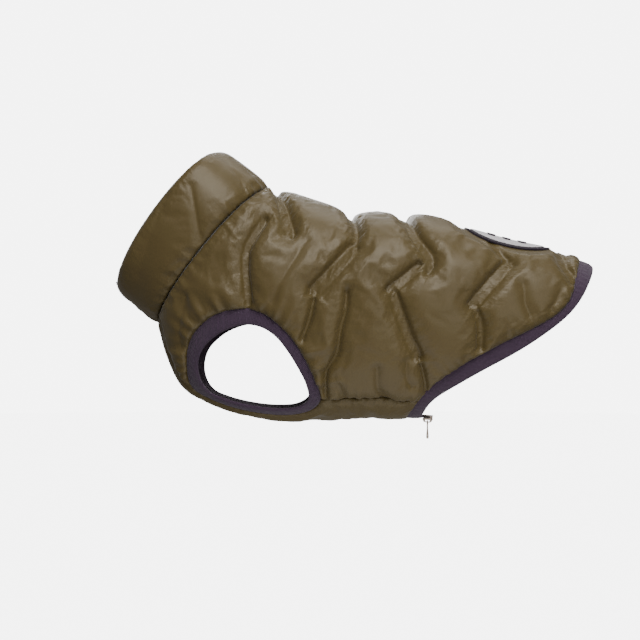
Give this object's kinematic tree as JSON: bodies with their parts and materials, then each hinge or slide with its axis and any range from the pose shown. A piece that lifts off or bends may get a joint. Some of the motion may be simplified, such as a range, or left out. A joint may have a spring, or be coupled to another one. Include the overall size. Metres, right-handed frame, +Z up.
{
  "type": "dog winter coat",
  "caption": "Padded sleeveless winter coat for a dog in its worn form: quilted body, tall collar, bound leg holes and hem, zip along the underside with a hanging pull tab.",
  "frame": {"origin": "on the inner face of the back panel above the withers, in the coat's middle plane, where the wearer's back holds it up", "axes": "+X towards the tail, +Y towards the coat's far side, +Z up"},
  "size_m": [0.5652, 0.2016, 0.3416],
  "materials": {
    "shell": "satin olive-brown nylon, quilted over padding",
    "binding": "matt dark aubergine ribbed knit",
    "tape": "matt dark woven zip tape",
    "metal": "pale gold plated metal",
    "badge": "off-white embroidered felt"
  },
  "bodies": {
    "coat": {"back_panel": "shell", "collar": "shell", "belly_panel_left": "shell", "belly_panel_right": "shell", "armhole_binding_left": "binding", "armhole_binding_right": "binding", "hem_binding": "binding", "zip_tape_left": "tape", "zip_tape_right": "tape", "zip_box": "metal", "zip_slider": "metal", "badge_ground": "binding", "badge_face": "badge", "badge_bar_front": "binding", "badge_bar_middle": "binding", "badge_bar_rear": "binding"},
    "pull_tab": {"zip_pull": "metal"}
  },
  "joints": [
    {"name": "pull_tab_swing", "type": "hinge", "parent": "coat", "child": "pull_tab", "pos_m": [0.15293, 0, -0.25663], "axis": [0, 1, 0], "range_deg": [-80, 80]}
  ]
}
